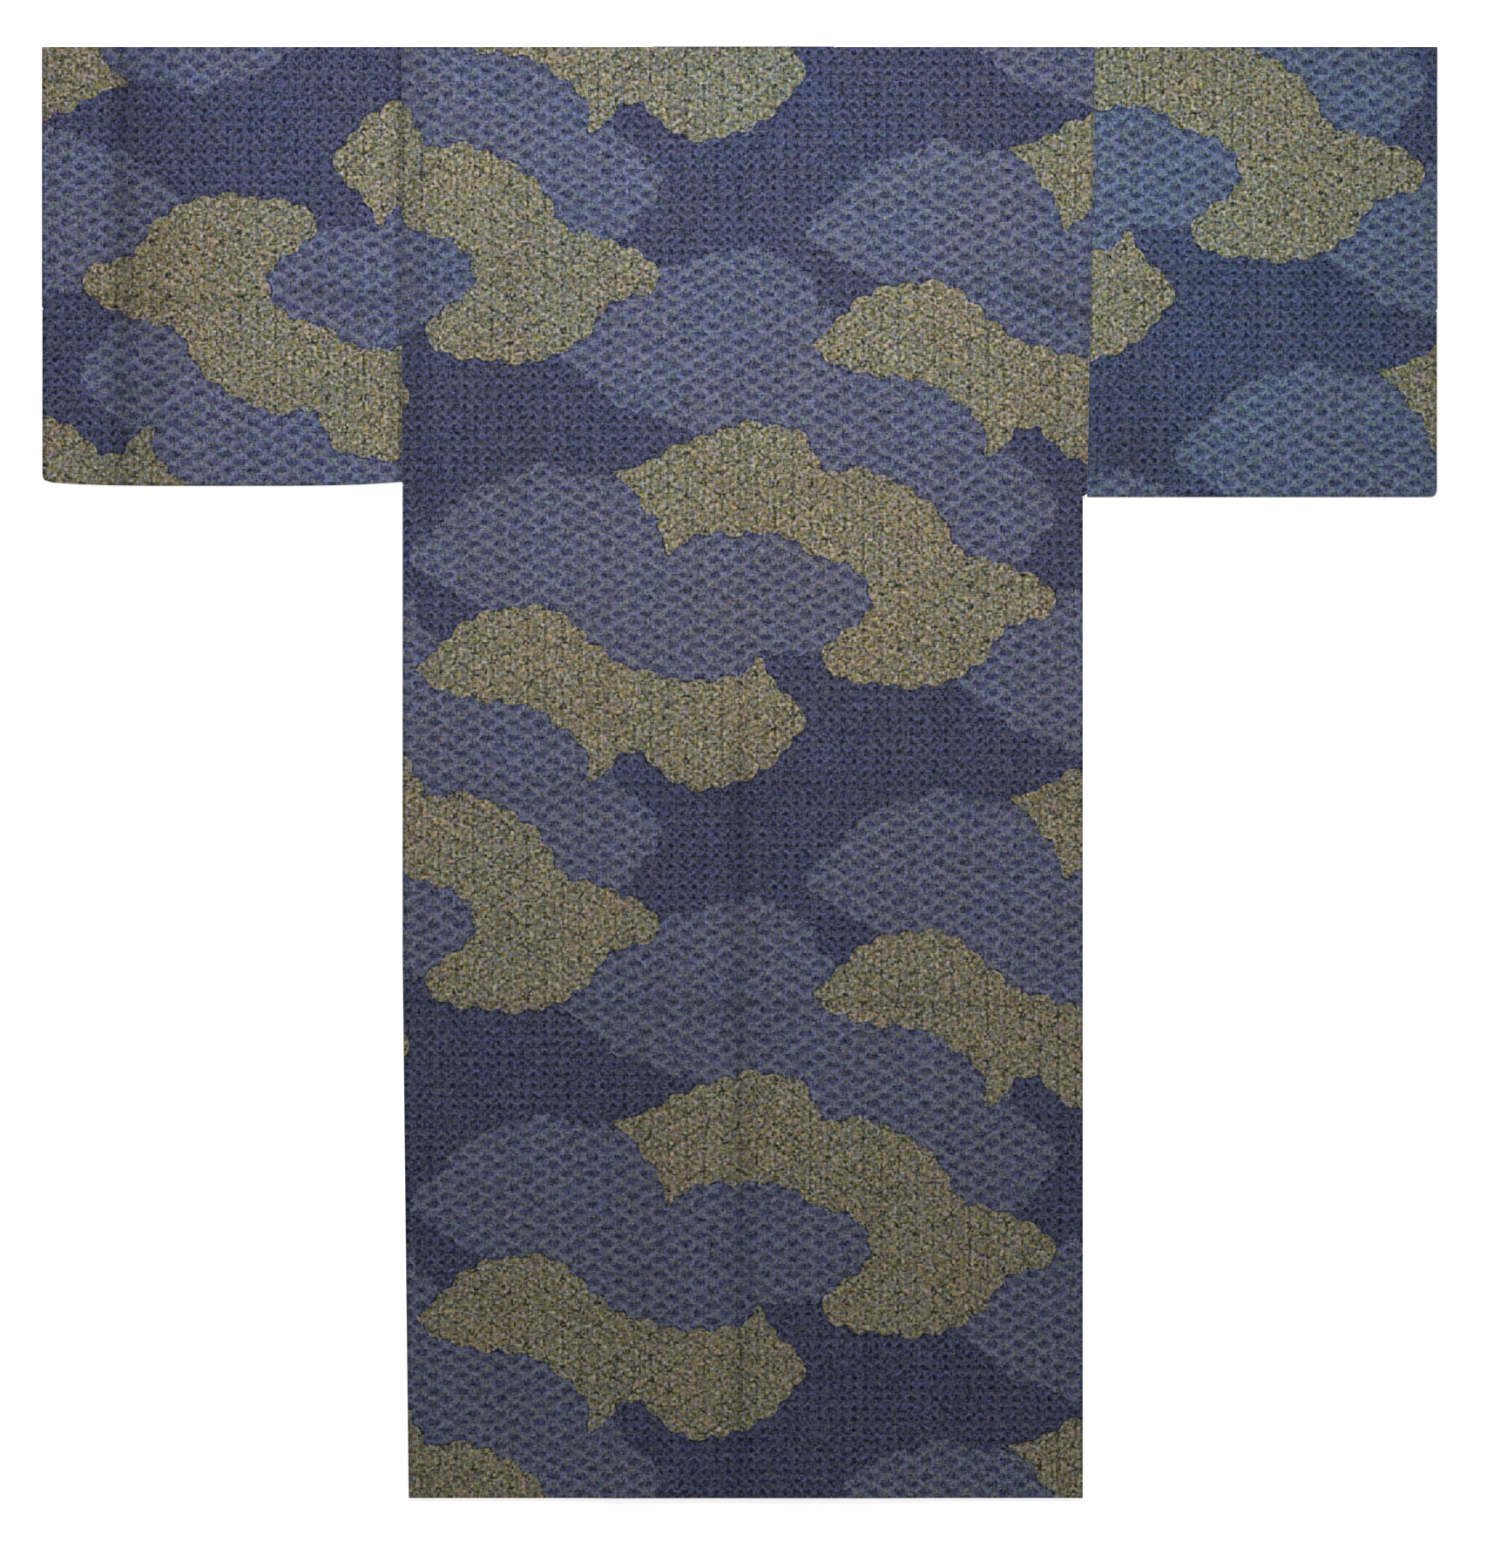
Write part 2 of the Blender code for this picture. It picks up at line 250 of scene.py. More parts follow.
# %% Heights of the layers
WAVE_HEIGHT = 1.0 * MM
WAVE_LONG = 0.41
WAVE_ACROSS = 0.29
WAVE_SLANT = 2.0
CREASES = (  # place along the robe, depth, half width, and how much it wanders
    dict(y=0.482, depth=1.6 * MM, width=0.0045, wander=0.003),
    dict(y=0.277, depth=1.1 * MM, width=0.0050, wander=0.002),
    dict(y=-0.026, depth=2.2 * MM, width=0.0050, wander=0.002),
    dict(y=-0.228, depth=3.0 * MM, width=0.0050, wander=0.002),
    dict(y=-0.490, depth=1.0 * MM, width=0.0060, wander=0.003),
)
CREASE_SWELL = 0.45  # share of a crease's depth that it sinks and that the cloth beside it rises
TUCK = dict(x=-0.611, height=1.2 * MM, width=0.012)
SLACK = (  # length and direction of each slow ripple, and its height
    dict(length=0.118, turn=0.5, height=0.16 * MM),
    dict(length=0.083, turn=1.9, height=0.12 * MM),
    dict(length=0.061, turn=2.7, height=0.09 * MM),
    dict(length=0.047, turn=1.2, height=0.06 * MM),
)
SLACK_BEND = 1.5


def floor_height(points):
    return np.zeros(len(points))


def middle_height(points):
    """Underside of the right front, which lies over the left one where they overlap."""
    over_cloth = CLOTH_LIFT * held_up(points, left_front)
    return np.maximum(over_cloth, COLLAR_LIFT * held_up(points, left_collar))


def waves(points):
    x, y = points.T
    along = np.sin(y / WAVE_LONG * math.tau + WAVE_SLANT * x)
    across = np.sin(x / WAVE_ACROSS * math.tau + WAVE_SLANT * y)
    return WAVE_HEIGHT * (2 + along + across) / 4


def storage_creases(points):
    """Shallow valleys across the robe, with the cloth swelling a little on both sides of each."""
    x, y = points.T
    total = np.zeros(len(points))
    for crease in CREASES:
        line = crease["y"] + crease["wander"] * np.sin(x * 9.0 + crease["y"] * 40)
        d = (y - line) / crease["width"]
        strength = 0.75 + 0.25 * np.sin(x * 13.0 + crease["y"] * 70)
        total += crease["depth"] * strength * CREASE_SWELL * (np.exp(-(d / 3) ** 2) - np.exp(-d ** 2))
    return total


def slackness(points):
    """Slow ripples in several directions, all above 0."""
    x, y = points.T
    total = np.zeros(len(points))
    for ripple in SLACK:
        across = x * math.cos(ripple["turn"]) + y * math.sin(ripple["turn"])
        bend = np.sin((x - y) * 11.0 + ripple["turn"] * 5)
        total += ripple["height"] * (1 + np.sin(across / ripple["length"] * math.tau + SLACK_BEND * bend))
    return total


def back_height(points):
    """Underside of the back, which covers both fronts and the collar."""
    middle = middle_height(points)
    covered = np.max([
        CLOTH_LIFT * held_up(points, left_front),
        COLLAR_LIFT * held_up(points, left_collar),
        COLLAR_LIFT * held_up(points, back_collar),
        (middle + CLOTH_LIFT) * held_up(points, right_front),
        (middle + COLLAR_LIFT) * held_up(points, right_collar),
    ], axis=0)
    return covered + waves(points) + storage_creases(points) + slackness(points)


def sleeve_height(points):
    """Underside of the sleeve's upper side, with the pressed tuck near the left wrist."""
    tuck = TUCK["height"] * np.exp(-(((points[:, 0] - TUCK["x"]) / TUCK["width"]) ** 2))
    return CLOTH_LIFT + waves(points) + storage_creases(points) + slackness(points) + tuck


print("back, highest point, mm:", round(back_height(np.array([[0.05, 0.3]]))[0] / MM, 2))

# %% [markdown]
# The cloth shows drifting clouds, an old weaver's pattern. Each cloud has a scalloped edge and is filled
# with a small repeat of its own. A cloud is laid out here by a few points of its sweep, given to the
# nearest half centimetre, a pointed tip by the same point twice. A smooth closed curve runs through them,
# and a row of round scallops is set along it where the cloud is broad. The four clouds repeat in a half
# drop, as woven cloth does.

# %% Clouds of the repeat, in millimetres on the back
HEMP_CRESCENT = (
    (-130, 295), (-130, 295), (-100, 300), (-65, 315), (-30, 330), (15, 340), (60, 330), (80, 295),
    (115, 295), (160, 280), (200, 245), (215, 215), (255, 205), (285, 190), (310, 170), (300, 155),
    (265, 145), (240, 115), (205, 90), (160, 85), (115, 90), (90, 100), (80, 115), (110, 140),
    (130, 165), (115, 200), (80, 210), (50, 230), (0, 235), (-50, 230), (-70, 210), (-80, 245),
    (-100, 270),
)
HEMP_BANK = (
    (-320, 100), (-320, 100), (-280, 135), (-250, 155), (-210, 160), (-175, 155), (-150, 130), (-115, 105),
    (-65, 90), (-10, 90), (10, 100), (15, 115), (25, 110), (30, 90), (60, 60), (50, 30),
    (25, 5), (-25, -15), (-70, -5), (-95, 20), (-115, 20), (-135, -5), (-150, -10), (-150, 20),
    (-185, 55), (-230, 70), (-275, 75),
)
WAVE_DRIFT = (
    (-175, 415), (-135, 445), (-90, 485), (-40, 500), (0, 510), (35, 505), (65, 485), (80, 455),
    (130, 425), (205, 380), (250, 330), (285, 290), (310, 265), (295, 235), (265, 205), (195, 210),
    (110, 260), (45, 295), (0, 320), (-45, 335), (-85, 350), (-125, 365), (-150, 390),
)
WAVE_BANK = (
    (-320, 210), (-295, 240), (-260, 275), (-210, 290), (-190, 300), (-165, 290), (-125, 285), (-50, 270),
    (45, 255), (120, 200), (140, 160), (120, 135), (80, 120), (25, 115), (10, 95), (-60, 80),
    (-135, 115), (-195, 145), (-245, 160), (-280, 180),
)
REPEAT_ACROSS = 388.0
REPEAT_ALONG = 635.0
HEMP_SCALLOP = dict(step=26.0, radius=13.6, inset=10.4, trim=1.4)
WAVE_SCALLOP = dict(step=20.0, radius=12.0, inset=8.6, trim=2.4)
OUTLINE_STEP = 6.0
BROAD = dict(reach=1.6, inside=0.9)  # in scallop insets: how far in a place still has to be inside a cloud
REPEATS = range(-6, 7)
FAR = 40.0  # a point further than this from a cloud is simply outside it


def closed_curve(guide, step):
    """Points about a step apart on a smooth closed curve through the guide, and their inward normals."""
    guide = np.array(guide, float)
    t = np.linspace(0, 1, 12, endpoint=False)[:, None]
    stretches = []
    for k in range(len(guide)):
        a, b, c, d = (guide[(k + i) % len(guide)] for i in (-1, 0, 1, 2))
        stretches.append(0.5 * (2 * b + (c - a) * t + (2 * a - 5 * b + 4 * c - d) * t**2
                                + (3 * b - a - 3 * c + d) * t**3))
    dense = np.concatenate(stretches)
    ring = np.concatenate([dense, dense[:1]])
    reach = np.concatenate([[0], np.cumsum(np.linalg.norm(np.diff(ring, axis=0), axis=1))])
    stops = np.linspace(0, reach[-1], round(reach[-1] / step), endpoint=False)
    points = np.stack([np.interp(stops, reach, ring[:, i]) for i in (0, 1)], axis=1)
    along = np.roll(points, -1, axis=0) - np.roll(points, 1, axis=0)
    along /= np.linalg.norm(along, axis=1)[:, None]
    turn = np.sign(np.cross(points, np.roll(points, -1, axis=0)).sum())
    return points, turn * np.stack([-along[:, 1], along[:, 0]], axis=1)


def cloud(guide, scallop):
    """A cloud's smooth outline and the scallops along it, none on the pointed tails."""
    outline, _ = closed_curve(guide, OUTLINE_STEP)
    points, inward = closed_curve(guide, scallop["step"])
    inset = scallop["inset"]
    centres = points + inward * inset
    broad = signed_distance(points + inward * BROAD["reach"] * inset, outline) < -BROAD["inside"] * inset
    sizes = scallop["radius"] * (1 + 0.12 * np.sin(np.arange(len(centres)) * 2.4))
    return dict(outline=outline, scallops=list(zip(centres[broad], sizes[broad])), trim=scallop["trim"])


def cloud_distance(places, clouds):
    """Distance of each place on the cloth, in millimetres, to the nearest cloud's edge, below 0 inside."""
    nearest = np.full(len(places), FAR)
    low, high = places.min(axis=0), places.max(axis=0)
    for column in REPEATS:
        for row in REPEATS:
            shift = np.array([column * REPEAT_ACROSS, (row + column % 2 / 2) * REPEAT_ALONG])
            for one in clouds:
                box_low = one["outline"].min(axis=0) + shift - FAR
                box_high = one["outline"].max(axis=0) + shift + FAR
                if (box_high < low).any() or (box_low > high).any():
                    continue
                near = ((places > box_low) & (places < box_high)).all(axis=1)
                spots = places[near] - shift
                if not len(spots):
                    continue
                found = signed_distance(spots, one["outline"]) + one["trim"]
                for centre, size in one["scallops"]:
                    found = np.minimum(found, np.linalg.norm(spots - centre, axis=1) - size)
                nearest[near] = np.minimum(nearest[near], found)
    return nearest


hemp_clouds = [cloud(HEMP_CRESCENT, HEMP_SCALLOP), cloud(HEMP_BANK, HEMP_SCALLOP)]
wave_clouds = [cloud(WAVE_DRIFT, WAVE_SCALLOP), cloud(WAVE_BANK, WAVE_SCALLOP)]
print("scallops in a repeat:", sum(len(one["scallops"]) for one in hemp_clouds + wave_clouds))

# %% [markdown]
# A cloth sheet needs more than its shape. Every point also keeps where it lies on the flat cloth: as UV, in
# metres, for the fine fills, and as two distances, to the hemp clouds and to the wave clouds, which the
# material turns into crisp scalloped edges. The pattern then follows each strip over its folds.

# %% Cloth maps of the strips
RIGHT_SLEEVE_SHIFT = np.array([0.361, 0.417])
LEFT_SLEEVE_TURN = np.array([-0.333, 0.648])


def body_map(points):
    return points


def right_sleeve_map(points):
    return points - RIGHT_SLEEVE_SHIFT


def left_sleeve_map(points):
    """This sleeve was cut with the cloth turned end for end."""
    return LEFT_SLEEVE_TURN - points


# %% [markdown]
# Along creases, seams, the tuck, a few short wrinkles and the robe's rolled edge, the face is painted darker:
# painted shade, where the cloth dips into creases and seams and turns down at its edge. One spot near the
# left wrist is lighter. Yarn from different dye baths also gives faint bars along the warp and the weft, and
# slow patches shift the cloth's tone and hue from place to place; the darkest, at the right sleeve's lower
# corner, is painted shade. Every point gets a factor for red, green and blue for this, 1 where the cloth has
# its own tone. The places follow the photo.

# %% Tone of the face
CREASE_SHADE_LINES = (  # painted crease shade across the robe at y, from x to x: how much darker, and half its width
    dict(at=0.482, start=-0.33, end=0.34, dark=0.08, width=0.0045),
    dict(at=0.463, start=-0.68, end=-0.34, dark=0.13, width=0.0045),
    dict(at=0.480, start=0.35, end=0.68, dark=0.13, width=0.0090),
    dict(at=0.447, start=0.35, end=0.68, dark=0.10, width=0.0060),
    dict(at=0.277, start=-0.33, end=0.34, dark=0.08, width=0.0070),
    dict(at=-0.012, start=-0.33, end=0.34, dark=0.10, width=0.0070),
    dict(at=-0.030, start=-0.33, end=0.34, dark=0.10, width=0.0060),
    dict(at=-0.228, start=-0.33, end=0.34, dark=0.16, width=0.0050),
    dict(at=-0.489, start=0.02, end=0.34, dark=0.08, width=0.0060),
)
UPRIGHT_SHADE_AND_STREAKS = (  # mostly painted shade along the robe at x, from y to y: beside the tuck, the seams and an edge below; one is a faint streak
    dict(at=-0.604, start=0.27, end=0.73, dark=0.36, width=0.0120),
    dict(at=-0.575, start=0.27, end=0.73, dark=0.16, width=0.0200),
    dict(at=-0.547, start=0.27, end=0.73, dark=0.06, width=0.0035),
    dict(at=-0.333, start=0.27, end=0.73, dark=0.22, width=0.0040),
    dict(at=-0.316, start=0.27, end=0.73, dark=0.15, width=0.0110),
    dict(at=-0.077, start=-0.73, end=0.10, dark=0.09, width=0.0050),
    dict(at=-0.100, start=-0.73, end=-0.10, dark=0.06, width=0.0250),
    dict(at=0.155, start=-0.30, end=0.10, dark=0.05, width=0.0060),
    dict(at=0.0010, start=-0.73, end=0.03, dark=0.26, width=0.0105),
    dict(at=0.0030, start=0.00, end=0.60, dark=0.10, width=0.0060),
)
LINE_SWAY = dict(folded=(0.0020, 14), upright=(0.0012, 9))  # how far a line wanders, and how fast
WARP_BARS = (  # radians to the metre, phase, tone, and how far and how fast the bar wanders
    (310, 0.0, 0.016, 2.0, 47), (173, 1.0, 0.016, 0.0, 0), (71, 2.0, 0.0128, 0.0, 0),
)
WEFT_BARS = (
    (420, 0.0, 0.014, 2.5, 61), (233, 0.7, 0.014, 0.0, 0), (97, 0.0, 0.0112, 0.0, 0),
)
SEAM_SHADE = dict(dark=0.16, width=0.0028)  # painted shade along both sleeve seams
EDGE_SHADE = dict(dark=0.34, width=0.0026)  # painted shade all round the robe, where the cloth rolls down at its edge
PALE_SPOT = dict(x=-0.634, y=0.380, light=0.16, size=0.011)  # a lighter spot near the left wrist
WRINKLE_SHADE = (  # painted shade along short slanted wrinkles, each from its start to its end
    dict(start=(0.268, 0.476), end=(0.338, 0.449), dark=0.34, width=0.0070),
    dict(start=(-0.425, 0.473), end=(-0.347, 0.461), dark=0.20, width=0.0080),
)
TINT_PATCHES = (  # slow patches that shift red, green and blue, with the patch's half widths; the one at the right sleeve's lower corner is painted shade
    dict(x=0.02, y=0.16, across=0.20, along=0.12, tint=(0.06, 0.00, -0.06)),
    dict(x=-0.25, y=0.34, across=0.10, along=0.09, tint=(-0.07, -0.07, -0.08)),
    dict(x=0.10, y=0.60, across=0.20, along=0.12, tint=(0.00, 0.05, 0.05)),
    dict(x=0.51, y=0.48, across=0.14, along=0.14, tint=(0.03, 0.08, 0.08)),
    # painted shade near the right sleeve's lower corner
    dict(x=0.38, y=0.32, across=0.06, along=0.06, tint=(-0.14, -0.18, -0.20)),
    dict(x=-0.59, y=0.48, across=0.05, along=0.06, tint=(0.08, -0.02, -0.14)),
    dict(x=0.00, y=-0.70, across=0.50, along=0.14, tint=(0.06, 0.10, 0.10)),
    dict(x=-0.03, y=0.68, across=0.14, along=0.05, tint=(-0.13, -0.07, 0.02)),
    dict(x=-0.20, y=0.49, across=0.08, along=0.07, tint=(-0.13, -0.08, 0.00)),
)
MOTTLE = (0.045, -0.005, -0.035)  # how far the dye sways in red, green and blue


def window(values, start, end):
    """1 between two ends, fading over 2 cm."""
    return 1 / (1 + np.exp(-(values - start) / 0.010)) / (1 + np.exp(-(end - values) / 0.010))


def line_tone(lines, over, along, sway):
    """How much painted shade darkens the cloth along some lines that wander a little."""
    far, fast = sway
    total = np.zeros(len(over))
    for line in lines:
        d = (over - line["at"] - far * np.sin(along * fast)) / line["width"]
        total += line["dark"] * np.exp(-d * d) * window(along, line["start"], line["end"])
    return total


def bar_tone(values, bars):
    """Faint bars of uneven yarn, as a few waves across the cloth."""
    return sum(tone * np.sin(values * turn + phase + far * np.sin(values * fast))
               for turn, phase, tone, far, fast in bars)


def face_tone(points):
    """One number for each point, how light the cloth is: faint yarn bars, painted shade along the lines,
    seams, wrinkles and the edge, and one lighter spot.
    """
    x, y = points.T
    tone = 1 + bar_tone(x, WARP_BARS) + bar_tone(y, WEFT_BARS)
    tone -= line_tone(CREASE_SHADE_LINES, y, x, LINE_SWAY["folded"])
    tone -= line_tone(UPRIGHT_SHADE_AND_STREAKS, x, y, LINE_SWAY["upright"])
    for side in SIDES.values():
        d = (x - side_x(side, y)) / SEAM_SHADE["width"]
        tone -= SEAM_SHADE["dark"] * np.exp(-d * d) * (y > side["armhole"])
    for line in WRINKLE_SHADE:
        start, along = np.array(line["start"]), np.array(line["end"]) - line["start"]
        t = np.clip((points - start) @ along / (along @ along), 0, 1)
        d = np.linalg.norm(points - start - t[:, None] * along, axis=1) / line["width"]
        tone -= line["dark"] * np.exp(-d * d)
    d = signed_distance(points, whole_robe) / EDGE_SHADE["width"]
    tone -= EDGE_SHADE["dark"] * np.exp(-d * d)
    spot = ((x - PALE_SPOT["x"]) ** 2 + (y - PALE_SPOT["y"]) ** 2) / PALE_SPOT["size"] ** 2
    return tone + PALE_SPOT["light"] * np.exp(-spot)


def patch_tint(points):
    """Factors for red, green and blue: slow patches, one of them painted shade, over a faint mottle."""
    x, y = points.T
    mottle = np.sin(x * 41 + 1.5 * np.sin(y * 27)) * np.sin(y * 33 + 1.2 * np.sin(x * 19))
    tint = 1 + mottle[:, None] * MOTTLE
    for patch in TINT_PATCHES:
        far = ((x - patch["x"]) / patch["across"]) ** 2 + ((y - patch["y"]) / patch["along"]) ** 2
        tint += np.exp(-far)[:, None] * patch["tint"]
    return tint


# %% [markdown]
# Every strip is a doubled sheet: the back, a rounded fold, and the front below it. It could be a plane that
# is extruded and turned over by hand. But a sheet has to meet its neighbours along all its edges, so each
# one is laid out as rows of points and quads instead. The back shows and has its points 3.6 mm apart, the
# hidden front has every second one. Solidify then gives the sheet its wall.

# %% Helpers for sheets
FINE = 3.6 * MM
EDGE_LINES = np.array([1.2, 2.6, 4.2, 6.2]) * MM
SMOOTH_ANGLE = math.radians(40)


def even_steps(start, end, step):
    """Values from start to end in an even number of equal steps."""
    return np.linspace(start, end, 2 * math.ceil(abs(end - start) / (2 * step)) + 1)


def edge_steps(start, end, step):
    """The same, with closer lines along both edges, where the cloth rolls into its seams."""
    close = EDGE_LINES * np.sign(end - start)
    inner = even_steps(start + close[-1], end - close[-1], step)
    return np.concatenate([[start], start + close[:-1], inner, end - close[:-1][::-1], [end]])


def as_points(*axes):
    """Arrays of x and y, or x, y and z, as a list of points."""
    return np.stack([axis.ravel() for axis in axes], axis=1)


class Sheet:
    """Points, cloth places and faces of one sheet while it is laid out."""

    def __init__(self):
        self.points = []
        self.places = []
        self.faces = []

    def add(self, points, places):
        """Adds points with their places on the cloth, and returns their numbers."""
        first = sum(len(part) for part in self.points)
        self.points.append(np.asarray(points, float))
        self.places.append(np.asarray(places, float))
        return np.arange(first, first + len(points))

    def grid(self, x, y, z, places):
        """A grid of quads from arrays of column by row, and the numbers of its points."""
        flat = as_points(x, y, z)
        numbers = self.add(flat, places).reshape(x.shape)
        self.quads(numbers)
        return numbers

    def quads(self, numbers):
        a, b = numbers[:-1, :-1].ravel(), numbers[1:, :-1].ravel()
        c, d = numbers[1:, 1:].ravel(), numbers[:-1, 1:].ravel()
        self.faces += [tuple(face) for face in zip(a.tolist(), b.tolist(), c.tolist(), d.tolist())]

    def fold(self, fine, coarse, outward, places):
        """Rounds a fold from a fine line of points down to a coarse one that has every second point."""
        points = np.concatenate(self.points)
        upper = points[fine]
        lower = points[coarse][:, 2]
        count = np.arange(len(fine))
        low = np.interp(count, count[::2], lower)
        lines = [fine]
        for turn in (0.25, 0.5, 0.75):
            out = FOLD_OUT * math.sin(math.pi * turn)
            z = (upper[:, 2] + low) / 2 + (upper[:, 2] - low) / 2 * math.cos(math.pi * turn)
            ring = np.column_stack([upper[:, :2] + outward * out, z])
            lines.append(self.add(ring, places))
        self.quads(np.array(lines))
        last = lines[-1]
        for k in range(len(coarse) - 1):
            self.faces.append(tuple(int(n) for n in (
                last[2 * k], last[2 * k + 1], last[2 * k + 2], coarse[k + 1], coarse[k])))


def make_piece(name, sheet, cloth_map, roll, thickness):
    """Turns a sheet into a finished object: mesh, cloth maps, wall and smooth shading."""
    points = np.concatenate(sheet.points)
    places = cloth_map(np.concatenate(sheet.places))
    mesh = bpy.data.meshes.new(name)
    mesh.from_pydata(points.tolist(), [], sheet.faces)
    layer = mesh.uv_layers.new(name="cloth")
    corners = np.zeros(len(mesh.loops), np.int32)
    mesh.loops.foreach_get("vertex_index", corners)
    layer.data.foreach_set("uv", places[corners].ravel())
    for label, clouds in (("hemp", hemp_clouds), ("wave", wave_clouds)):
        attribute = mesh.attributes.new(label, "FLOAT", "POINT")
        attribute.data.foreach_set("value", cloud_distance(places / MM, clouds))
    mesh.attributes.new("roll", "FLOAT", "POINT").data.foreach_set("value", np.full(len(points), float(roll)))
    # The tone attribute holds yarn bars, tint patches, and painted shade along creases, seams, wrinkles and
    # the edge.
    tone = face_tone(points[:, :2])[:, None] * patch_tint(points[:, :2])
    mesh.attributes.new("tone", "FLOAT_VECTOR", "POINT").data.foreach_set("vector", tone.ravel())
    piece = bpy.data.objects.new(name, mesh)
    bpy.context.collection.objects.link(piece)
    bpy.ops.object.select_all(action="DESELECT")
    piece.select_set(True)
    bpy.context.view_layer.objects.active = piece
    bpy.ops.object.mode_set(mode="EDIT")
    bpy.ops.mesh.select_all(action="SELECT")
    bpy.ops.mesh.normals_make_consistent(inside=False)
    bpy.ops.object.mode_set(mode="OBJECT")
    wall = piece.modifiers.new("wall", "SOLIDIFY")
    wall.thickness = thickness
    wall.offset = 0
    wall.use_even_offset = True
    bpy.ops.object.modifier_apply(modifier="wall")
    bpy.ops.object.shade_smooth_by_angle(angle=SMOOTH_ANGLE)
    mesh.materials.append(cotton)
    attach(piece, "root")
    triangles = sum(len(face.vertices) - 2 for face in mesh.polygons)
    print(name, "triangles:", triangles)
    return piece


# %% [markdown]
# The cloth is plain-woven cotton whose yarns were dyed before weaving, so its colour sits in the threads and
# its face is matte. Three fills share it: zigzags on the navy ground, fish-scale waves in the blue clouds
# and hemp leaves in the olive ones. All are old all-over repeats, drawn here at their real size in
# millimetres.

# %% Colours of the yarns, as the cloth's own and not as lit
GROUND = dict(base="#45465a", line="#525570", dot="#25283e")
WAVE = dict(band="#555669", rim="#676a7d", deep="#454760", core="#646869")
HEMP = dict(leaf="#797469", gold="#857a53", vein="#a19c89", stem="#544e36", heart="#37331f")
OUTLINE = "#191c2c"
LEFT_SLEEVE_TINT = (1.04, 1.06, 1.10)  # the sleeves are tinted a little bluer than the body
RIGHT_SLEEVE_TINT = (0.97, 1.14, 1.17)
FIBRE = 0.045  # undyed fibre at the face, which makes light streaks greyer

# %% Cotton: where a point lies on the flat cloth, in millimetres
cotton = bpy.data.materials.new("yarn_dyed_plain_weave_cotton")
cotton.use_nodes = True


def add_node(kind, inputs=None, operation=None, **settings):
    """Adds a node to the cotton. An input is a value or a node's output. Gives back its own output."""
    node = cotton.node_tree.nodes.new("ShaderNode" + kind)
    if operation:
        node.operation = operation
    for name, value in settings.items():
        setattr(node, name, value)
    for socket, value in (inputs or {}).items():
        if isinstance(value, bpy.types.NodeSocket):
            cotton.node_tree.links.new(value, node.inputs[socket])
        else:
            node.inputs[socket].default_value = value
    return next(output for output in node.outputs if output.enabled)


on_cloth = add_node("UVMap", uv_map="cloth")
in_mm = add_node("VectorMath", {0: on_cloth, 1: (1000, 1000, 0)}, "MULTIPLY")
DRIFT = 1.6  # how far the woven rows wander, mm
DRIFT_LENGTH = 45.0  # over what length, mm
wander = add_node("TexNoise", {"Vector": in_mm, "Scale": 1 / DRIFT_LENGTH, "Detail": 1.0})
wander = wander.node.outputs["Color"]
shift = add_node("VectorMath", {0: wander, 1: (0.5, 0.5, 0.5)}, "SUBTRACT")
place = add_node("VectorMath", {0: shift, 1: (DRIFT, DRIFT, 0), 2: in_mm}, "MULTIPLY_ADD")
across = add_node("SeparateXYZ", {0: place})
along = across.node.outputs["Y"]

# %% [markdown]
# The navy ground carries rows of fine zigzags, 11 mm from peak to peak and 10 mm from row to row, with a
# dark dot in each pit. A triangle wave of the distance across, added to the distance along, bends straight
# rows into zigzags.

# %% Fill of the ground
ZIG = 5.6  # half a repeat across, mm
ROW = 5.1  # half a repeat along, mm
DOT = (3.0, 1.2)  # from where a dot starts to where it is full, mm from its middle
LINE = (1.9, 0.6)  # the same for a zigzag line
cell = add_node("VectorMath", {0: place, 1: (ZIG, ROW, 1), 2: (-ZIG, -ROW, -1)}, "WRAP")
from_pit = add_node("VectorMath", {0: cell}, "LENGTH")
dot = add_node("MapRange", {"Value": from_pit, "From Min": DOT[0], "From Max": DOT[1]})
peak = add_node("Math", {0: across, 1: ZIG}, "PINGPONG")
bent = add_node("Math", {0: peak, 1: ROW / ZIG, 2: along}, "MULTIPLY_ADD")
from_row = add_node("Math", {0: bent, 1: ROW}, "PINGPONG")
zigzag = add_node("MapRange", {"Value": from_row, "From Min": ROW - LINE[0], "From Max": ROW - LINE[1]})
ground = add_node("Mix", {"Factor": zigzag, "A": linear(GROUND["base"]), "B": linear(GROUND["line"])},
                  data_type="RGBA")
ground = add_node("Mix", {"Factor": dot, "A": ground, "B": linear(GROUND["dot"])}, data_type="RGBA")

# %% [markdown]
# The blue clouds are filled with fish-scale waves: rows of circles, each row half a circle further along, so
# that each one is half hidden by the two in front. What shows at a point belongs to the foremost of three
# circles, and the distance to its middle gives the ring: a pale core, a dark band, a light rim.

# %% Fill of the wave clouds
SCALE = 13.0  # radius of a wave circle, mm
STEP = 7.6  # from row to row, mm
RINGS = (("deep", 2.0, 3.0), ("band", 6.8, 8.0), ("rim", 8.4, 10.2))  # colour, start, full, mm
row = add_node("Math", {0: along, 1: STEP}, "SNAP")
rise = add_node("Math", {0: along, 1: row}, "SUBTRACT")
staggered = add_node("Math", {0: row, 1: SCALE / STEP, 2: across}, "MULTIPLY_ADD")
aside = add_node("Math", {0: staggered, 1: SCALE}, "PINGPONG")
other = add_node("Math", {0: SCALE, 1: aside}, "SUBTRACT")
front = add_node("Math", {0: 2 * STEP, 1: rise}, "SUBTRACT")
middle = add_node("Math", {0: STEP, 1: rise}, "SUBTRACT")
front_radius, middle_radius, back_radius = (
    add_node("VectorMath", {0: add_node("CombineXYZ", {0: x, 1: y})}, "LENGTH")
    for x, y in ((aside, front), (other, middle), (aside, rise))
)
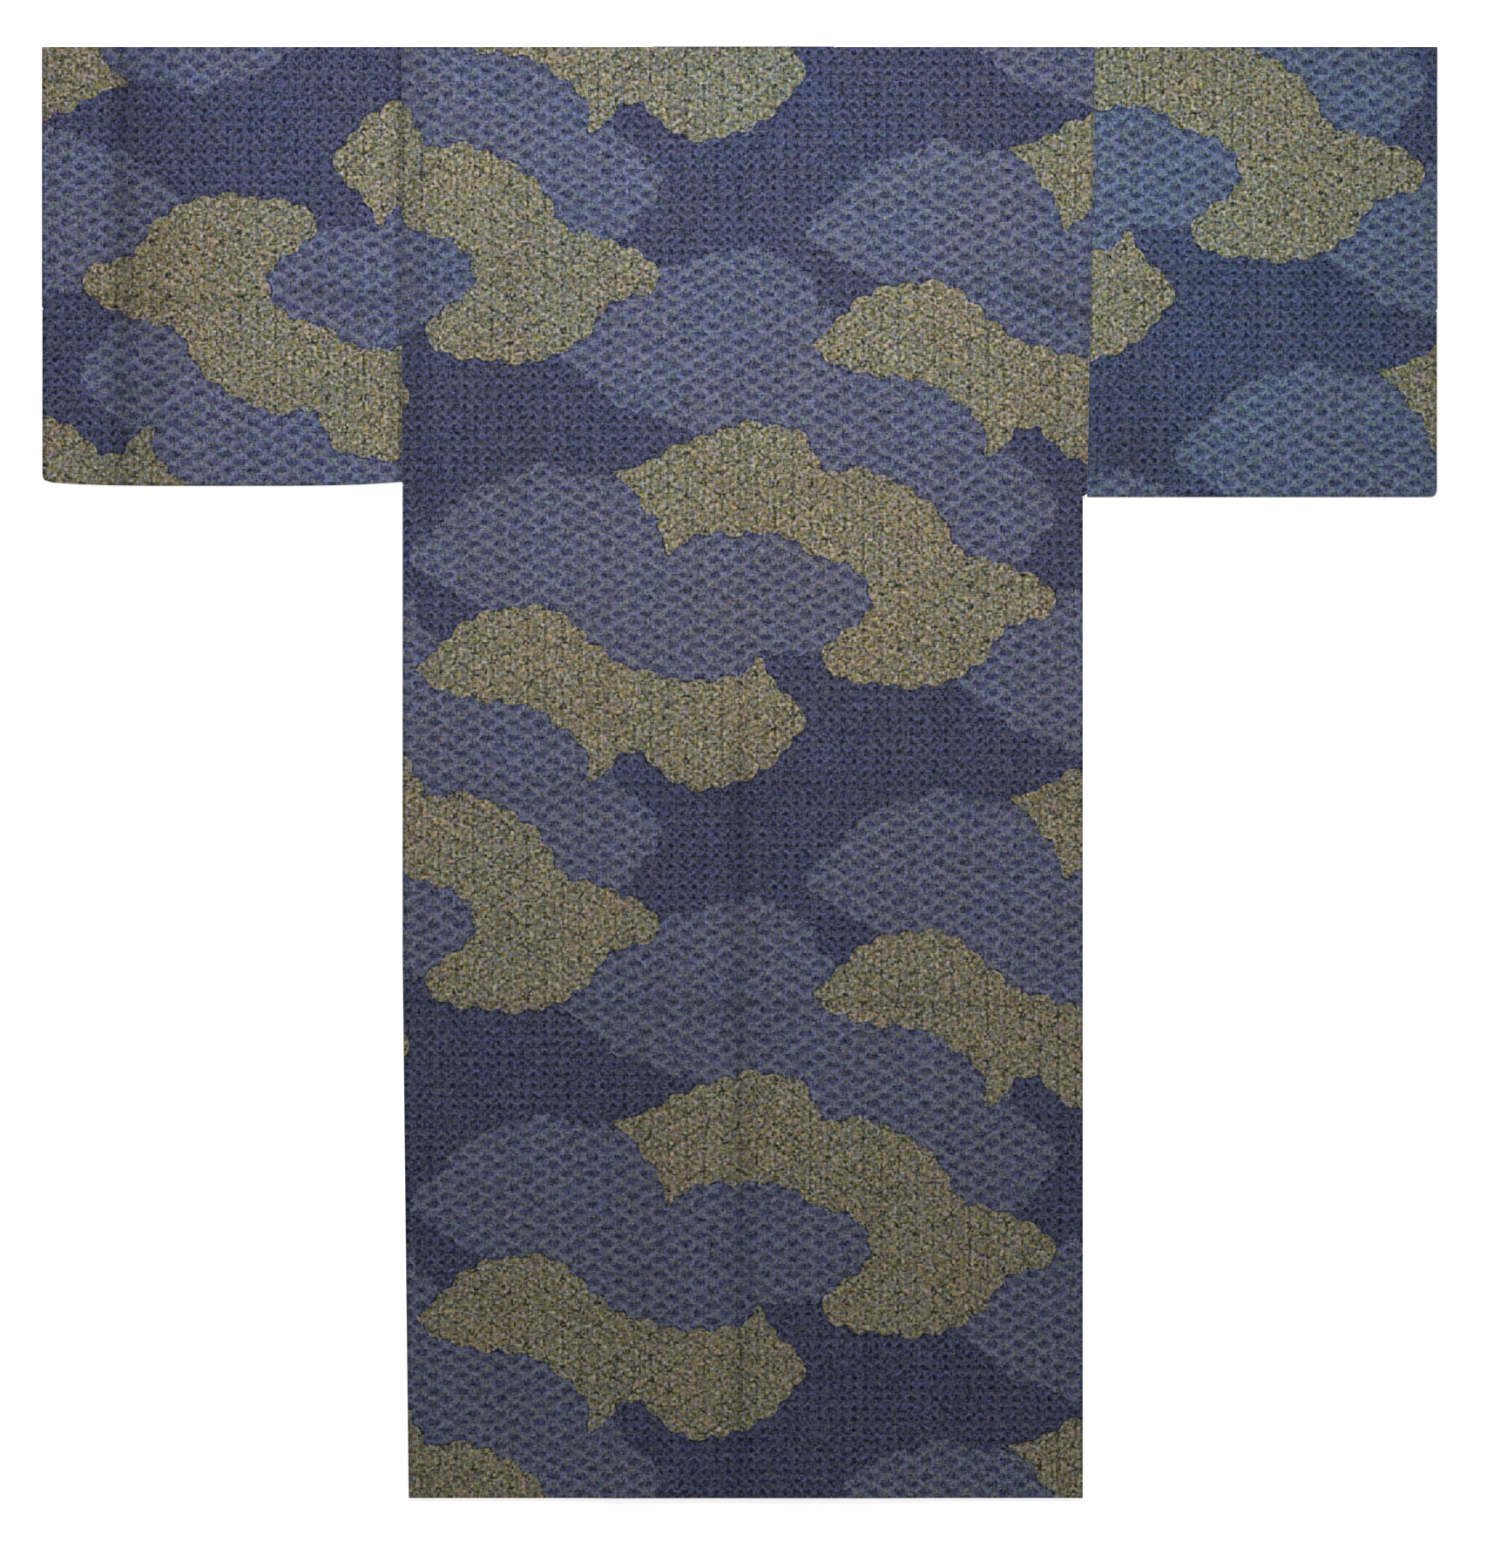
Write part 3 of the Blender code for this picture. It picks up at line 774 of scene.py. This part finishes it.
in_middle = add_node("Math", {0: middle_radius, 1: SCALE}, "LESS_THAN")
in_front = add_node("Math", {0: front_radius, 1: SCALE}, "LESS_THAN")
radius = add_node("Mix", {"Factor": in_middle, "A": back_radius, "B": middle_radius})
radius = add_node("Mix", {"Factor": in_front, "A": radius, "B": front_radius})
wave_fill = linear(WAVE["core"])
for colour, start, full in RINGS:
    ring = add_node("MapRange", {"Value": radius, "From Min": start, "From Max": full})
    wave_fill = add_node("Mix", {"Factor": ring, "A": wave_fill, "B": linear(WAVE[colour])}, data_type="RGBA")

# %% [markdown]
# The olive clouds are filled with hemp leaves: six-pointed stars of leaves, dark at the heart, with brown
# edges and paler veins. A net of triangles gives the leaf edges, and lines from each triangle's middle to
# its corners give the veins. Three shares that add up to one say where a point lies in its triangle: the
# smallest is the distance to an edge, the gap to the next one the distance to a vein, and the largest the
# heart. A dark knot sits where three veins meet. The woven lines are not whole: a noise leaves dashes of
# them.

# %% Fill of the hemp clouds
LEAF = 21.6  # from star to star along the cloth, mm
COLUMN = 17.3  # from column to column, mm
DASH = 3.6  # length of a dash, mm
PATCH = 7.0  # width of a yellow patch, mm
share_a = add_node("VectorMath", {0: place, 1: (1 / COLUMN, 0, 0)}, "DOT_PRODUCT")
share_b = add_node("VectorMath", {0: place, 1: (-0.5 / COLUMN, 1 / LEAF, 0)}, "DOT_PRODUCT")
share_c = add_node("VectorMath", {0: place, 1: (-0.5 / COLUMN, -1 / LEAF, 0)}, "DOT_PRODUCT")
forms = add_node("CombineXYZ", {0: share_a, 1: share_b, 2: share_c})
parts = add_node("VectorMath", {0: forms}, "FRACTION")
total = add_node("VectorMath", {0: parts, 1: (1, 1, 1)}, "DOT_PRODUCT")
upturned = add_node("Math", {0: total, 1: 1.5}, "GREATER_THAN")
turned = add_node("VectorMath", {0: parts, 1: upturned}, "SUBTRACT")
shares = add_node("VectorMath", {0: turned}, "ABSOLUTE")
first, second, third = add_node("SeparateXYZ", {0: shares}).node.outputs
small = add_node("Math", {0: first, 1: second}, "MINIMUM")
small = add_node("Math", {0: small, 1: third}, "MINIMUM")
large = add_node("Math", {0: first, 1: second}, "MAXIMUM")
large = add_node("Math", {0: large, 1: third}, "MAXIMUM")
gap = add_node("Math", {0: small, 1: -2.0, 2: 1.0}, "MULTIPLY_ADD")
gap = add_node("Math", {0: gap, 1: large}, "SUBTRACT")
to_edge = add_node("Math", {0: small, 1: COLUMN}, "MULTIPLY")
to_vein = add_node("Math", {0: gap, 1: LEAF / 2}, "MULTIPLY")
from_star = add_node("Math", {0: 1.0, 1: large}, "SUBTRACT")
broken = add_node("TexNoise", {"Vector": place, "Scale": 1 / DASH, "Detail": 0.0})
gone = add_node("MapRange", {"Value": broken, "From Min": 0.58, "From Max": 0.44})
dashes = add_node("MapRange", {"Value": broken, "From Min": 0.45, "From Max": 0.58})
worn = add_node("MapRange", {"Value": broken, "From Min": 0.42, "From Max": 0.56, "To Min": 0.45})
yellow = add_node("TexNoise", {"Vector": place, "Scale": 1 / PATCH, "Detail": 1.0})
yellow = add_node("MapRange", {"Value": yellow, "From Min": 0.40, "From Max": 0.62})
hemp_fill = add_node("Mix", {"Factor": yellow, "A": linear(HEMP["leaf"]), "B": linear(HEMP["gold"])},
                     data_type="RGBA")
MARKS = (  # colour, what is measured, where the mark starts and is full, its strength, and what breaks it
    ("stem", to_edge, 2.2, 0.7, 0.66, dashes),
    ("vein", to_vein, 2.4, 0.8, 0.85, gone),
    ("heart", from_star, 0.24, 0.14, 0.70, worn),
    ("heart", small, 0.24, 0.29, 0.50, 1.0),
)
for tint, measure, start, full, strength, breaks in MARKS:
    mark = add_node("MapRange", {"Value": measure, "From Min": start, "From Max": full, "To Max": strength})
    mark = add_node("Math", {0: mark, 1: breaks}, "MULTIPLY")
    hemp_fill = add_node("Mix", {"Factor": mark, "A": hemp_fill, "B": linear(HEMP[tint])}, data_type="RGBA")

# %% [markdown]
# Where one fill meets another the weaver lets a dark yarn through, a broken line of dots round each cloud.
# The two distances that every point carries say how far it is from a cloud's scalloped edge. The hemp clouds
# lie over the wave clouds, and those over the ground.

# %% Clouds over the ground
HALO_FADE = 0.6  # mm
EDGE_FADE = 0.35  # mm
to_hemp = add_node("Attribute", attribute_name="hemp").node.outputs["Fac"]
to_wave = add_node("Attribute", attribute_name="wave").node.outputs["Fac"]
colour = ground
LAYERS = (  # distance to the edge, fill, width of the dark yarns round it in mm, and their strength
    (to_wave, wave_fill, 1.2, 0.35),
    (to_hemp, hemp_fill, 2.0, 0.75),
)
for distance, fill, width, strength in LAYERS:
    halo = add_node("MapRange", {"Value": distance, "From Min": width + HALO_FADE,
                                 "From Max": width - HALO_FADE, "To Max": strength})
    halo = add_node("Math", {0: halo, 1: dashes}, "MULTIPLY")
    colour = add_node("Mix", {"Factor": halo, "A": colour, "B": linear(OUTLINE)}, data_type="RGBA")
    inside = add_node("MapRange", {"Value": distance, "From Min": EDGE_FADE, "From Max": -EDGE_FADE})
    colour = add_node("Mix", {"Factor": inside, "A": colour, "B": fill}, data_type="RGBA")

# %% [markdown]
# Yarn isn't even. Each crossing of two dyed yarns has a tone and a hue of its own, and thick and thin places
# make short streaks along the weft and along the warp. Real yarns are 0.4 mm apart, too fine to show here,
# so the crossings are drawn 2.6 mm wide. The olive clouds, of yellow, brown and grey yarns, vary most. The
# streaks also give the weave its faint relief.

# %% Yarn crossings, finish and relief
CROSSING = 2.6  # mm
STREAKS = ((5.0, 1.7), (1.7, 5.0))  # length across and along the cloth, mm
STREAK_TONE = 1.5
YARN_TONE = dict(ground=0.50, hemp=0.76)
YARN_HUE = dict(ground=0.30, hemp=0.38)
YARN_TINT = (0.55, 0.45, 1.4)  # yarns differ most in blue
HUE_LENGTH = 9.0  # mm
HUE = dict(spread=(0.44, 0.32, 0.60), least=(0.78, 0.84, 0.70))
DARKEST = (0.004, 0.004, 0.006)
OLIVE_SHARE = 0.6  # the olive clouds take this much less of the sleeves' tint
FINISH = {"Roughness": 0.88, "IOR": 1.5, "Specular IOR Level": 0.25,
          "Sheen Weight": 0.03, "Sheen Roughness": 0.5}
crossing = add_node("VectorMath", {0: in_mm, 1: (CROSSING, CROSSING, 1)}, "SNAP")
yarn = add_node("TexWhiteNoise", {"Vector": crossing}, noise_dimensions="2D")
in_hemp = add_node("MapRange", {"Value": to_hemp, "From Min": 0.5, "From Max": -0.5})
yarn_tone, hue_spread = (
    add_node("Math", {0: in_hemp, 1: amount["hemp"] - amount["ground"], 2: amount["ground"]},
             "MULTIPLY_ADD") for amount in (YARN_TONE, YARN_HUE)
)
streaks = []
for wide, tall in STREAKS:
    stretched = add_node("VectorMath", {0: in_mm, 1: (1 / wide, 1 / tall, 0)}, "MULTIPLY")
    streaks.append(add_node("TexNoise", {"Vector": stretched, "Scale": 1.0, "Detail": 1.0}))
mottle = add_node("Math", {0: streaks[0], 1: streaks[1]}, "ADD")
tone = add_node("Math", {0: mottle, 1: STREAK_TONE, 2: 1 - STREAK_TONE}, "MULTIPLY_ADD")
lighter = add_node("Math", {0: yarn, 1: 0.5}, "SUBTRACT")
tone = add_node("Math", {0: lighter, 1: yarn_tone, 2: tone}, "MULTIPLY_ADD")
greyer = add_node("VectorMath", {0: colour, 1: (FIBRE, FIBRE, FIBRE)}, "ADD")
greyer = add_node("VectorMath", {0: greyer, "Scale": tone}, "SCALE")
colour = add_node("VectorMath", {0: greyer, 1: (FIBRE, FIBRE, FIBRE)}, "SUBTRACT")
colour = add_node("VectorMath", {0: colour, 1: DARKEST}, "MAXIMUM")
# The tone attribute darkens the colour with painted shade along creases, seams, wrinkles and the edge, besides
# yarn bars and tint patches.
face = add_node("Attribute", attribute_name="tone").node.outputs["Vector"]
colour = add_node("VectorMath", {0: colour, 1: face}, "MULTIPLY")
yarn_hue = yarn.node.outputs["Color"]
yarn_hue = add_node("VectorMath", {0: yarn_hue, 1: (0.5, 0.5, 0.5)}, "SUBTRACT")
yarn_hue = add_node("VectorMath", {0: yarn_hue, "Scale": hue_spread}, "SCALE")
yarn_hue = add_node("VectorMath", {0: yarn_hue, 1: YARN_TINT, 2: (1, 1, 1)}, "MULTIPLY_ADD")
colour = add_node("VectorMath", {0: colour, 1: yarn_hue}, "MULTIPLY")
hue = add_node("TexNoise", {"Vector": in_mm, "Scale": 1 / HUE_LENGTH, "Detail": 2.0}).node.outputs["Color"]
hue = add_node("VectorMath", {0: hue, 1: HUE["spread"], 2: HUE["least"]}, "MULTIPLY_ADD")
colour = add_node("VectorMath", {0: colour, 1: hue}, "MULTIPLY")
roll = add_node("Attribute", attribute_name="roll").node.outputs["Fac"]
sleeve_tint_share = add_node("Math", {0: in_hemp, 1: -OLIVE_SHARE, 2: 1.0}, "MULTIPLY_ADD")
for number, tint in ((1, LEFT_SLEEVE_TINT), (2, RIGHT_SLEEVE_TINT)):
    in_group = add_node("Math", {0: roll, 1: number, 2: 0.1}, "COMPARE")
    in_group = add_node("Math", {0: in_group, 1: sleeve_tint_share}, "MULTIPLY")
    tinted = add_node("VectorMath", {0: colour, 1: tint}, "MULTIPLY")
    colour = add_node("Mix", {"Factor": in_group, "A": colour, "B": tinted}, data_type="RGBA")
shader = cotton.node_tree.nodes["Principled BSDF"]
cotton.node_tree.links.new(colour, shader.inputs["Base Color"])
relief = add_node("Bump", {"Height": mottle, "Strength": 0.6, "Distance": 0.5 * MM})
cotton.node_tree.links.new(relief, shader.inputs["Normal"])
for socket, value in FINISH.items():
    shader.inputs[socket].default_value = value
print("cotton nodes:", len(cotton.node_tree.nodes))

# %% [markdown]
# Two strips of loom width make the body. Each runs in one piece from the back hem over the shoulder to the
# front hem, with no shoulder seam, and the two meet at the centre back. Stitches pull the cloth down, so it
# dips a little into each seam. Three rows of points round the folds at the shoulder and at the side, so that
# the robe ends in folded cloth and not in a cut board.

# %% Body strips
SEAM_DIP = 0.9 * MM
SEAM_DIP_WIDTH = 2.4 * MM


def seam_roll(distance):
    """How far the cloth dips into a seam at this distance from it."""
    return SEAM_DIP * np.exp(-(distance / SEAM_DIP_WIDTH) ** 2)


def body_sheet(name, side, front_height):
    sign = side["sign"]
    sheet = Sheet()
    neck = CENTRE + sign * NECK_HALF
    centre = CENTRE + sign * SEWN
    fold_y = TOP - CLOTH / 2 - FOLD_OUT
    low_rows = even_steps(HEM, side["armhole"], FINE)
    rows = np.concatenate([low_rows, even_steps(side["armhole"], fold_y, FINE)[1:]])
    inward = np.where(rows <= side["armhole"], CLOTH / 2 + FOLD_OUT, SEAM / 2)
    edge = side_x(side, rows) - sign * inward
    share = even_steps(0, 1, FINE / abs(neck - edge.mean()))
    share_in = edge_steps(0, abs(centre - neck), FINE)[1:]
    x_out = edge + share[:, None] * (neck - edge)
    x_in = neck - sign * share_in[:, None] + np.zeros(len(rows))
    x = np.concatenate([x_out, x_in])
    y = np.broadcast_to(rows, x.shape).copy()
    y[len(share):, -1] = TOP
    flat = as_points(x, y)
    base = back_height(flat)
    to_centre = np.abs(flat[:, 0] - CENTRE)
    z = base + CLOTH / 2 - seam_roll(to_centre)
    above = flat[:, 1] > side["armhole"]
    to_sleeve = np.abs(flat[:, 0] - side_x(side, flat[:, 1]))
    z = z - np.where(above, seam_roll(to_sleeve), 0)
    back = sheet.grid(x, y, z.reshape(x.shape), flat)

    tip_share = np.clip((rows - TIP) / (TOP - COLLAR_INSET - TIP), 0, 1)
    front_edge = CENTRE + sign * (FRONT_EDGE + (NECK_HALF - FRONT_EDGE) * tip_share)
    front_rows = slice(None, None, 2)
    fx = (edge + share[::2, None] * (front_edge - edge))[:, front_rows]
    fy = np.broadcast_to(np.maximum(rows, HEM + FRONT_SHORT)[front_rows], fx.shape)
    front_flat = as_points(fx, fy)
    fz = (front_height(front_flat) + CLOTH / 2).reshape(fx.shape)
    over_shoulder = as_points(fx, 2 * TOP - fy)
    front = sheet.grid(fx, fy, fz, over_shoulder)

    shoulder = back[:len(share), -1]
    sheet.fold(shoulder, front[:, -1], np.array([0, 1]), flat[shoulder])
    seam_rows = len(low_rows)
    side_line = back[0, :seam_rows]
    sheet.fold(side_line, front[0, :(seam_rows + 1) // 2], np.array([sign, 0]), flat[side_line])
    piece = make_piece(name, sheet, body_map, 0, SHEET_THICK)
    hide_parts(name.replace("_strip", ""))


body_sheet("body_left_strip", SIDES["left"], floor_height)
body_sheet("body_right_strip", SIDES["right"], middle_height)

# %% [markdown]
# A narrower panel is sewn to the front edge of each body strip, so that the fronts lap when the robe is
# worn. Here both lie under the back. The top is cut aslant, where the collar crosses it. The panel is flat
# and hidden, so a plain grid that follows the layer below it is enough.

# %% Overlap panels
PANEL_COLUMNS = 24
PANEL_ROWS = 180


def overlap_sheet(name, side, height):
    sign = side["sign"]
    sheet = Sheet()
    start = CENTRE + sign * (FRONT_EDGE - SEAM)
    end = CENTRE - sign * OVERLAP_EDGE
    columns = np.linspace(start, end, PANEL_COLUMNS)
    share = np.linspace(0, 1, PANEL_ROWS)
    across = np.abs(columns - CENTRE - sign * FRONT_EDGE) / (FRONT_EDGE + OVERLAP_EDGE)
    top = TIP + (HEM + COLLAR_RISE - TIP) * across
    low = HEM + FRONT_SHORT
    x = np.broadcast_to(columns[:, None], (len(columns), len(share)))
    y = low + share * (top[:, None] - low)
    flat = as_points(x, y)
    z = (height(flat) + CLOTH / 2).reshape(x.shape)
    sheet.grid(x, y, z, flat)
    piece = make_piece(name, sheet, body_map, 0, SHEET_THICK)
    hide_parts(name.replace("_panel", ""))


overlap_sheet("okumi_left_panel", SIDES["left"], floor_height)
overlap_sheet("okumi_right_panel", SIDES["right"], middle_height)

# %% [markdown]
# The collar is one long band, folded double, that runs up one front, round the neck and down the other. It
# is stiffer and thicker than the rest, and lies hidden under the back here. A grid follows its mitred line.
# Its cloth map runs along the band, as the band is cut.

# %% Collar
COLLAR_STEP = 5 * MM
COLLAR_COLUMNS = 13


def collar_sheet():
    sheet = Sheet()
    lines = []
    for part in range(len(collar_outer) - 1):
        steps = math.ceil(np.linalg.norm(collar_outer[part + 1] - collar_outer[part]) / COLLAR_STEP)
        t = np.linspace(0, 1, steps, endpoint=part == len(collar_outer) - 2)[:, None]
        outer = collar_outer[part] + t * (collar_outer[part + 1] - collar_outer[part])
        inner = collar_inner[part] + t * (collar_inner[part + 1] - collar_inner[part])
        lines += [(a, b, part >= 3) for a, b in zip(outer, inner)]
    across = np.linspace(0, 1, COLLAR_COLUMNS)
    x = np.array([[a[0] + s * (b[0] - a[0]) for a, b, _ in lines] for s in across])
    y = np.array([[a[1] + s * (b[1] - a[1]) for a, b, _ in lines] for s in across])
    raised = np.array([on_right for _, _, on_right in lines])
    flat = as_points(x, y)
    base = middle_height(flat).reshape(x.shape) * raised
    along = np.concatenate([[0], np.cumsum(np.hypot(np.diff(x[0]), np.diff(y[0])))])
    places = np.stack([
        np.broadcast_to(across[:, None] * COLLAR_WIDTH, x.shape).ravel(),
        np.broadcast_to(along, x.shape).ravel(),
    ], axis=1)
    sheet.grid(x, y, base + COLLAR_THICK / 2, places)
    piece = make_piece("collar_band", sheet, body_map, 0, COLLAR_THICK - 0.2 * MM)
    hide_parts("collar")


collar_sheet()

# %% [markdown]
# A sleeve is one strip, folded along its top and sewn to the body, a flat tube that is open at the wrist and
# sewn shut below it. The left one bows along its lower edge, its corner is drawn in, and a tuck from folding
# stands near the wrist. It is laid out as the body is. Each sleeve has a cloth map of its own, because the
# pattern lies differently on it: the left strip was turned end for end, the right one cut further along.

# %% Sleeves
SLEEVE_DEPTH = 0.43  # about, for the number of its rows
SLEEVE_WIDTH = 0.34


def sleeve_sheet(name, side, cloth_map, roll):
    sign = side["sign"]
    sheet = Sheet()
    fold = CLOTH / 2 + FOLD_OUT
    sewn_share = 1 - WRIST_OPEN / (TOP - side["armhole"])
    wrist_low = even_steps(0, sewn_share, FINE / SLEEVE_DEPTH)
    share = np.concatenate([wrist_low, even_steps(wrist_low[-1], 1, FINE / SLEEVE_DEPTH)[1:]])
    wrist_rows = len(wrist_low)
    u = even_steps(0, 1, FINE / SLEEVE_WIDTH)
    low = side["armhole"] + side["bow"] * np.abs(2 * u - 1) ** BOW_POWER + fold
    y = low[:, None] + share * (TOP - fold - low[:, None])
    seam = side_x(side, np.maximum(y, side["armhole"] + SEAM)) + sign * SEAM / 2
    wrist = sign * (SPAN / 2 - np.where(np.arange(len(share)) < wrist_rows, fold, 0))
    x = seam + u[:, None] * (wrist - seam)
    to_corner = np.hypot(x - sign * SPAN / 2, y - side["armhole"])
    pull = side["corner"] * np.exp(-(to_corner / (1.2 * side["corner"] + MM)) ** 2)
    x = x - sign * pull
    y = y + pull
    flat = as_points(x, y)
    to_seam = np.abs(x - seam).ravel()
    z = (sleeve_height(flat) + CLOTH / 2 - seam_roll(to_seam)).reshape(x.shape)
    back = sheet.grid(x, y, z, flat)
    fx, fy = x[::2, ::2], y[::2, ::2]
    over = as_points(fx, 2 * TOP - fy)
    front = sheet.grid(fx, fy, np.full(fx.shape, CLOTH / 2), over)
    sheet.fold(back[:, -1], front[:, -1], np.array([0, 1]), flat[back[:, -1]])
    below = np.concatenate([back[:, 0], back[-1, 1:wrist_rows]])
    below_coarse = np.concatenate([front[:, 0], front[-1, 1:(wrist_rows + 1) // 2]])
    outward = np.zeros((len(below), 2))
    outward[:len(u)] = [0, -1]
    outward[len(u):] = [sign, 0]
    outward[len(u) - 1] = np.array([sign, -1]) * math.sqrt(0.5)
    sheet.fold(below, below_coarse, outward, flat[below])
    piece = make_piece(name, sheet, cloth_map, roll, SHEET_THICK)
    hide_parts(name.replace("_tube", ""))


sleeve_sheet("sleeve_left_tube", SIDES["left"], left_sleeve_map, 1)
sleeve_sheet("sleeve_right_tube", SIDES["right"], right_sleeve_map, 2)
